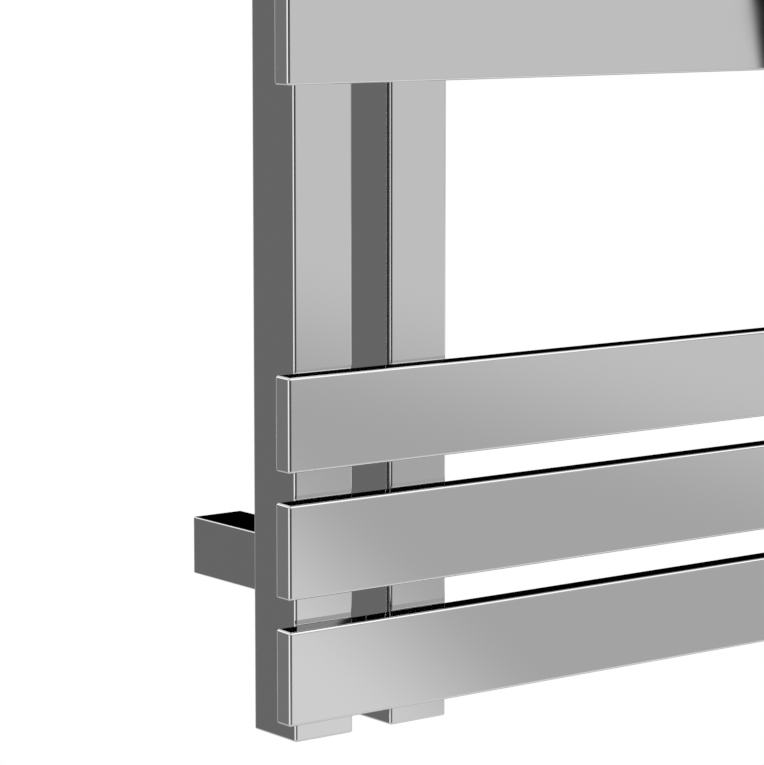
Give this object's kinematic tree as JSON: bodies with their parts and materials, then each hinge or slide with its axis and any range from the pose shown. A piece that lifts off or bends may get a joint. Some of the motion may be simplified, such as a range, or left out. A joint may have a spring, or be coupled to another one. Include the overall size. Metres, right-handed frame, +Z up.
{
  "type": "towel warmer rack",
  "caption": "Wall-hung hydronic towel warmer: flat chromed bars in groups, carried at one end by two square collectors, with sliding wall brackets and bleed valves.",
  "frame": {"origin": "on the wall's surface, midway between the two collectors and midway between the lower and upper brackets", "axes": "+X along the bars towards their free ends, +Y into the wall, +Z up"},
  "size_m": [0.5, 0.0901, 0.6872],
  "materials": {
    "chrome": "polished chrome plate",
    "plain_steel": "plain stainless steel",
    "zinc_steel": "bright zinc plate",
    "nickel_brass": "satin nickel-plated brass",
    "seal_rubber": "matt EPDM rubber"
  },
  "bodies": {
    "wall_anchors": {"wall_anchor_lower_left": "zinc_steel", "wall_anchor_lower_right": "zinc_steel", "wall_anchor_upper_left": "zinc_steel", "wall_anchor_upper_right": "zinc_steel"},
    "rack": {"bar_1": "chrome", "bar_1_divider_cap": "chrome", "bar_1_end_cap": "chrome", "bar_2": "chrome", "bar_2_divider_cap": "chrome", "bar_2_end_cap": "chrome", "bar_3": "chrome", "bar_3_divider_cap": "chrome", "bar_3_end_cap": "chrome", "bar_4": "chrome", "bar_4_divider_cap": "chrome", "bar_4_end_cap": "chrome", "bar_5": "chrome", "bar_5_divider_cap": "chrome", "bar_5_end_cap": "chrome", "bar_6": "chrome", "bar_6_divider_cap": "chrome", "bar_6_end_cap": "chrome", "bar_7": "chrome", "bar_7_divider_cap": "chrome", "bar_7_end_cap": "chrome", "bar_8": "chrome", "bar_8_divider_cap": "chrome", "bar_8_end_cap": "chrome", "bar_9": "chrome", "bar_9_divider_cap": "chrome", "bar_9_end_cap": "chrome", "return_collector": "chrome", "return_top_plate": "chrome", "return_bottom_plate": "chrome", "return_inlet_bush": "nickel_brass", "return_bleed_boss": "chrome", "return_bleed_seal": "seal_rubber", "return_bleed_valve": "nickel_brass", "supply_collector": "chrome", "supply_top_plate": "chrome", "supply_bottom_plate": "chrome", "supply_inlet_bush": "nickel_brass", "supply_bleed_boss": "chrome", "supply_bleed_seal": "seal_rubber", "supply_bleed_valve": "nickel_brass", "sleeve_lower_left": "chrome", "sleeve_lower_right": "chrome", "sleeve_upper_left": "chrome", "sleeve_upper_right": "chrome"},
    "grub_screw_lower_left": {"grub_screw_lower_left": "plain_steel"},
    "grub_screw_lower_right": {"grub_screw_lower_right": "plain_steel"},
    "grub_screw_upper_left": {"grub_screw_upper_left": "plain_steel"},
    "grub_screw_upper_right": {"grub_screw_upper_right": "plain_steel"},
    "return_bleed_screw": {"return_bleed_screw": "nickel_brass"},
    "supply_bleed_screw": {"supply_bleed_screw": "nickel_brass"}
  },
  "joints": [
    {"name": "wall_offset", "type": "slide", "parent": "wall_anchors", "child": "rack", "axis": [0, -1, 0], "range_m": [0, 0.012]},
    {"name": "grub_turn_lower_left", "type": "hinge", "parent": "rack", "child": "grub_screw_lower_left", "pos_m": [-0.025, -0.006, -0.2826], "axis": [0, 0, -1], "range_deg": [0, 630]},
    {"name": "grub_turn_lower_right", "type": "hinge", "parent": "rack", "child": "grub_screw_lower_right", "pos_m": [0.025, -0.006, -0.2826], "axis": [0, 0, -1], "range_deg": [0, 630]},
    {"name": "grub_turn_upper_left", "type": "hinge", "parent": "rack", "child": "grub_screw_upper_left", "pos_m": [-0.025, -0.006, 0.2606], "axis": [0, 0, -1], "range_deg": [0, 630]},
    {"name": "grub_turn_upper_right", "type": "hinge", "parent": "rack", "child": "grub_screw_upper_right", "pos_m": [0.025, -0.006, 0.2606], "axis": [0, 0, -1], "range_deg": [0, 630]},
    {"name": "return_bleed_turn", "type": "hinge", "parent": "rack", "child": "return_bleed_screw", "pos_m": [-0.025, -0.0375, 0.3236], "axis": [0, 1, 0], "range_deg": [0, 270]},
    {"name": "supply_bleed_turn", "type": "hinge", "parent": "rack", "child": "supply_bleed_screw", "pos_m": [0.025, -0.0375, 0.3236], "axis": [0, 1, 0], "range_deg": [0, 270]}
  ]
}
